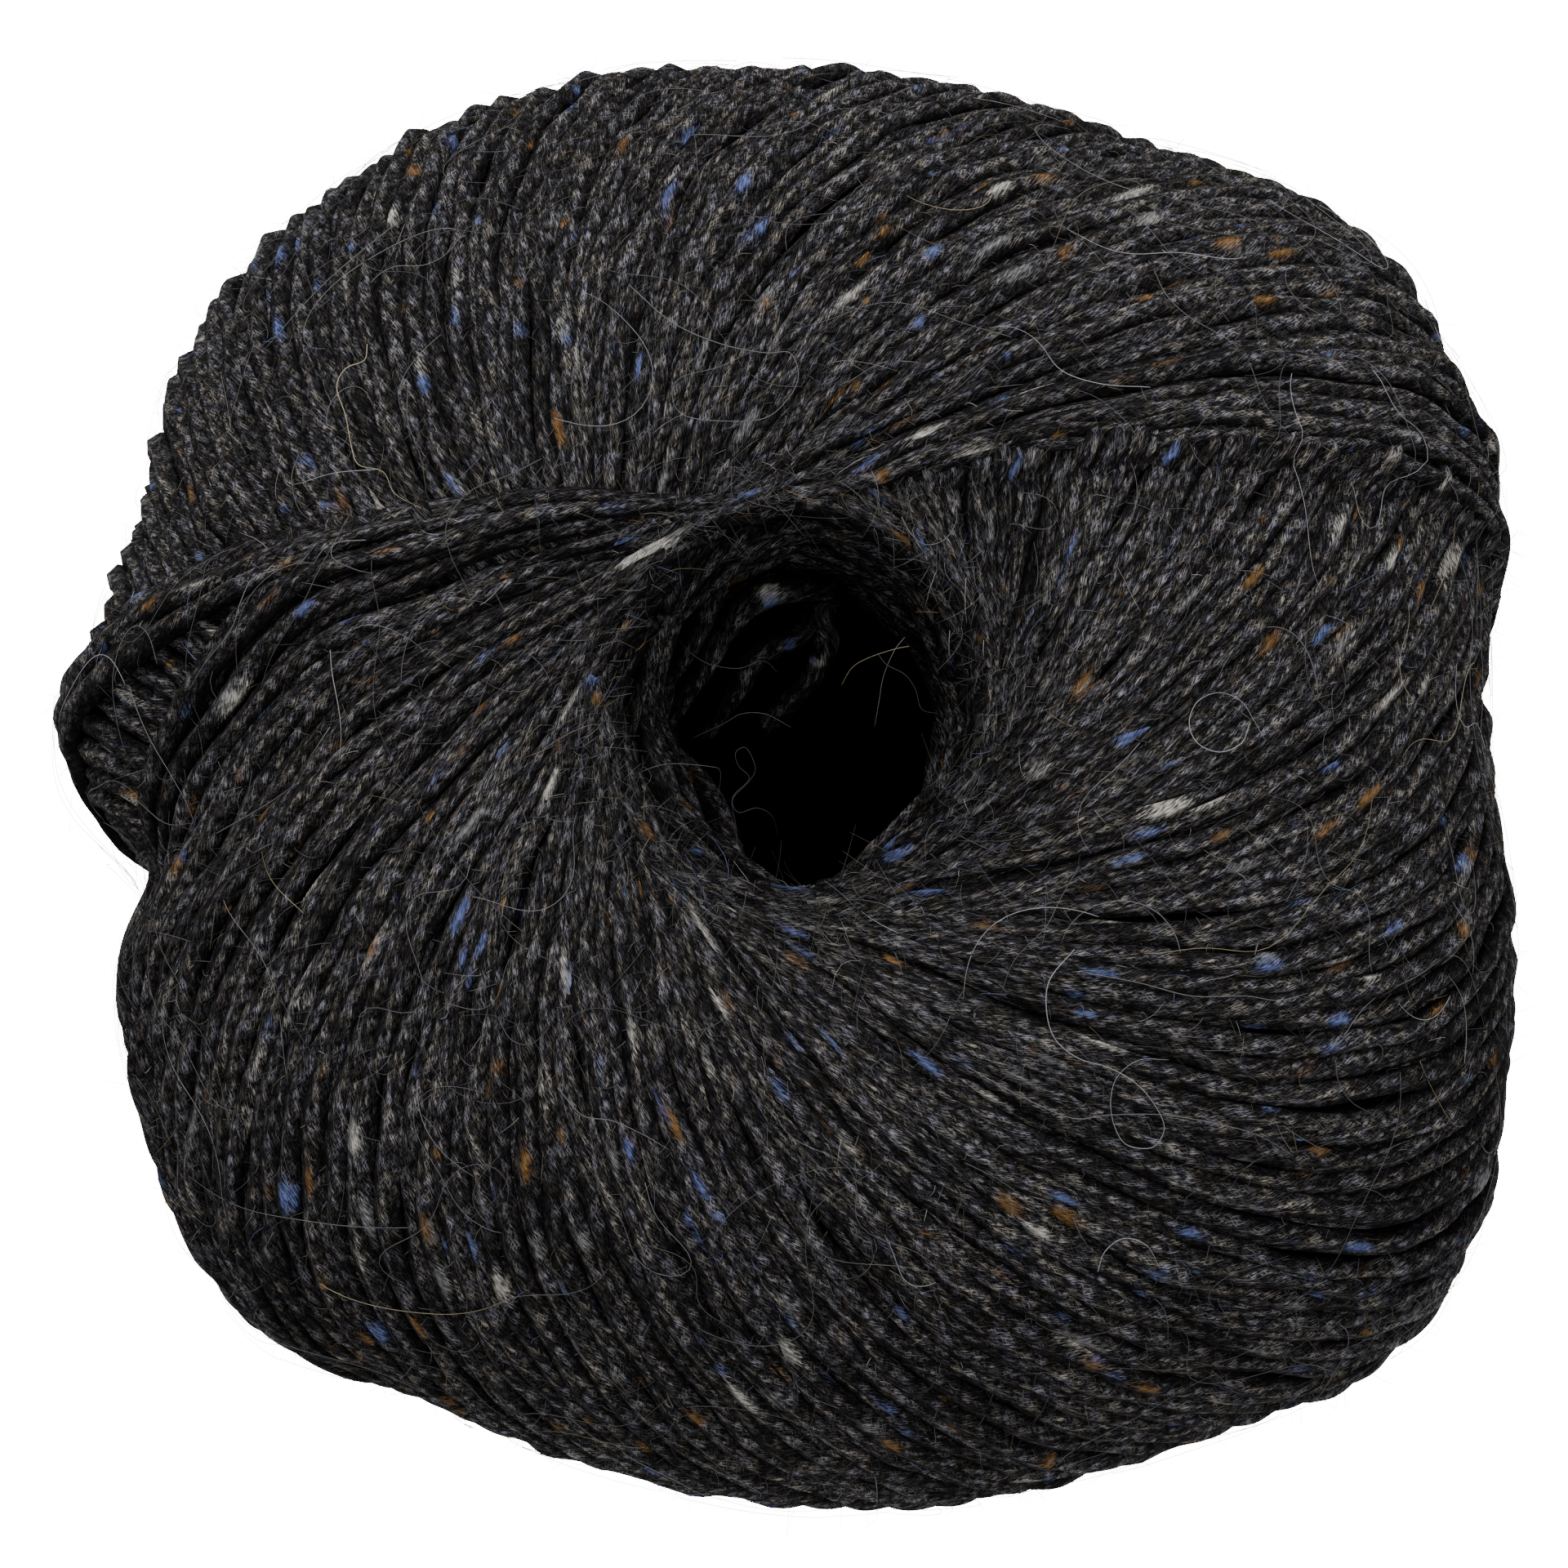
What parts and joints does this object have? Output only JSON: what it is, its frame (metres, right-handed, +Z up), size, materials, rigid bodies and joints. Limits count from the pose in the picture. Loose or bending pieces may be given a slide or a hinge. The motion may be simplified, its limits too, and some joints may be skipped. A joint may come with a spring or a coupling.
{
  "type": "ball of tweed yarn",
  "caption": "Round, slightly lobed ball of dark flecked tweed yarn, machine wound around an open centre hollow, resting on a flat spot.",
  "frame": {"origin": "middle of the ball's box on the surface it rests on", "axes": "+Z up along the axis of the hollow, +X to the right and +Y away from the viewer in the picture's view"},
  "size_m": [0.1004, 0.1, 0.0674],
  "materials": {
    "yarn": "soft matt wool strand in near-black with blue, rust and off-white tweed flecks and a light halo of loose fibres"
  },
  "bodies": {
    "root": {"yarn_ball": "yarn"}
  },
  "joints": []
}
